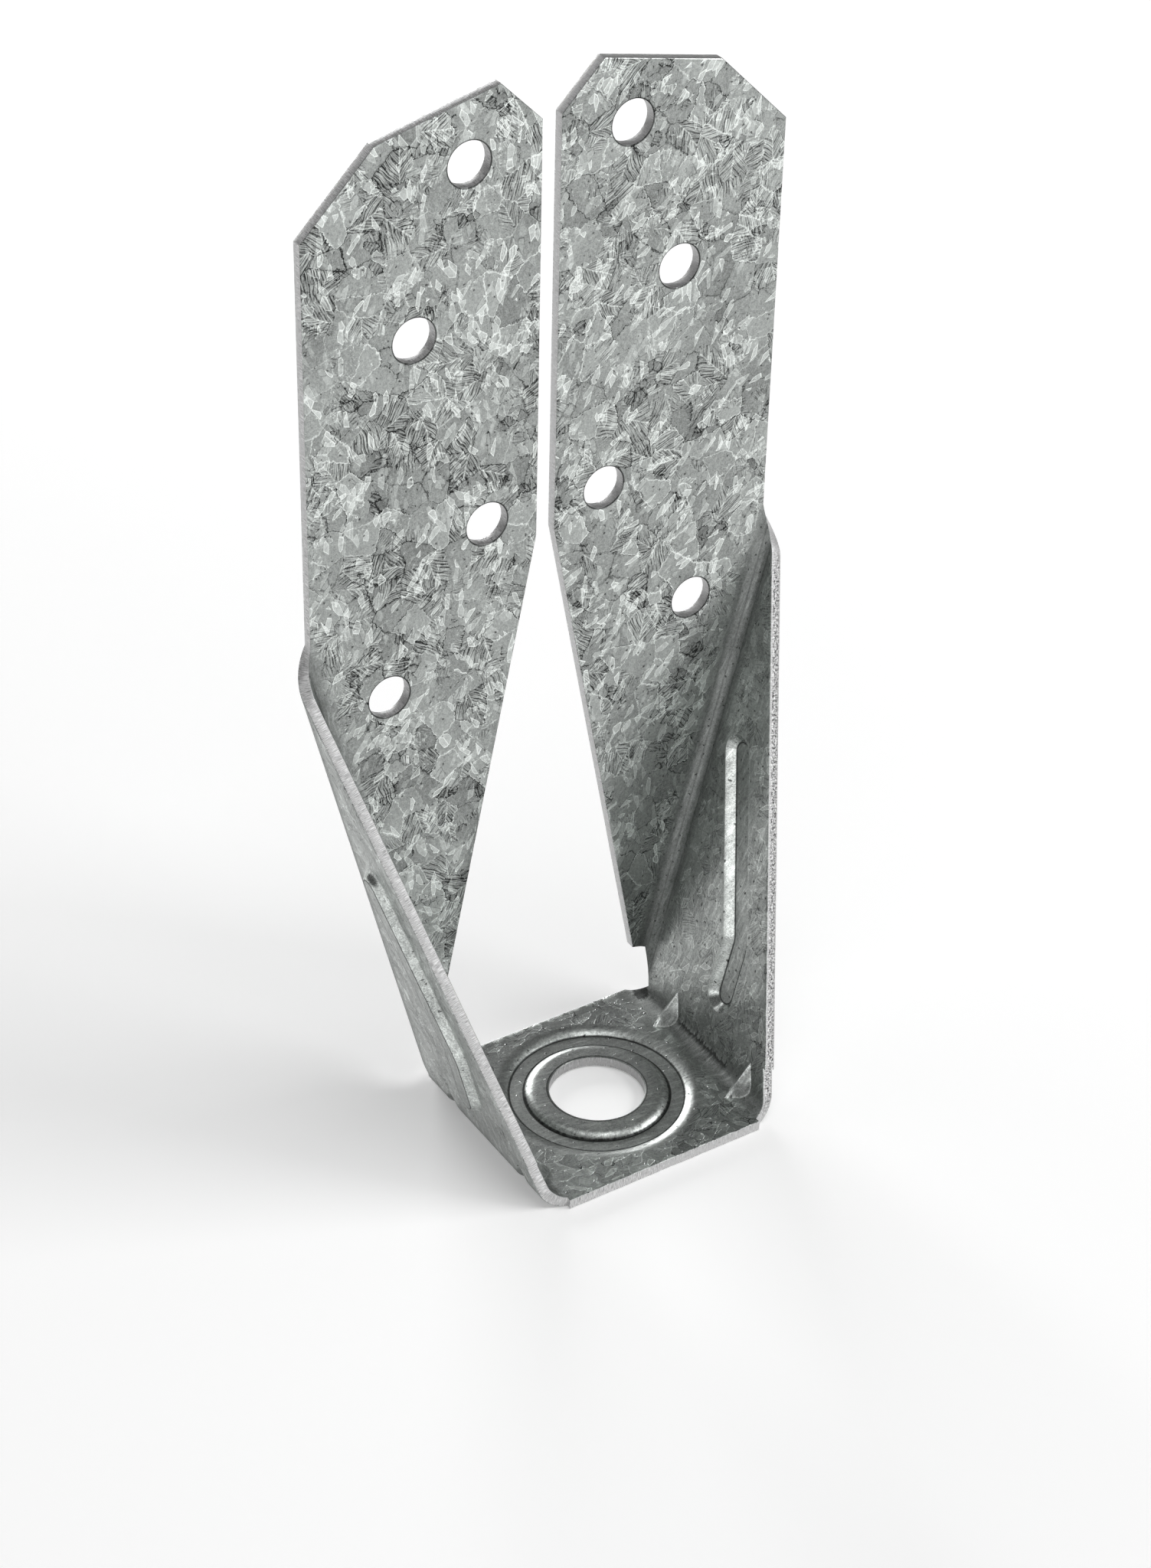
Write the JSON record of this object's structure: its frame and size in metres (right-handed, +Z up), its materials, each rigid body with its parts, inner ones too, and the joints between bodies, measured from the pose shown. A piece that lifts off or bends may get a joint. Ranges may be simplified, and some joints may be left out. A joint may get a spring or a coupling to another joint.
{
  "type": "deck tension tie",
  "caption": "Folded galvanised sheet tie with a seat for an anchor rod, two tapering side walls and two coplanar screw plates.",
  "frame": {"origin": "on the anchor hole's axis, at the underside of the seat", "axes": "+X across the two screw plates, +Y from the open front of the seat to the back of the screw plates, +Z up from the seat along the screw plates"},
  "size_m": [0.0874, 0.0412, 0.1758],
  "materials": {
    "galvanised_sheet": "hot-dip galvanised with visible zinc crystals, duller on the cut edges"
  },
  "bodies": {
    "root": {"tension_tie": "galvanised_sheet"}
  },
  "joints": []
}
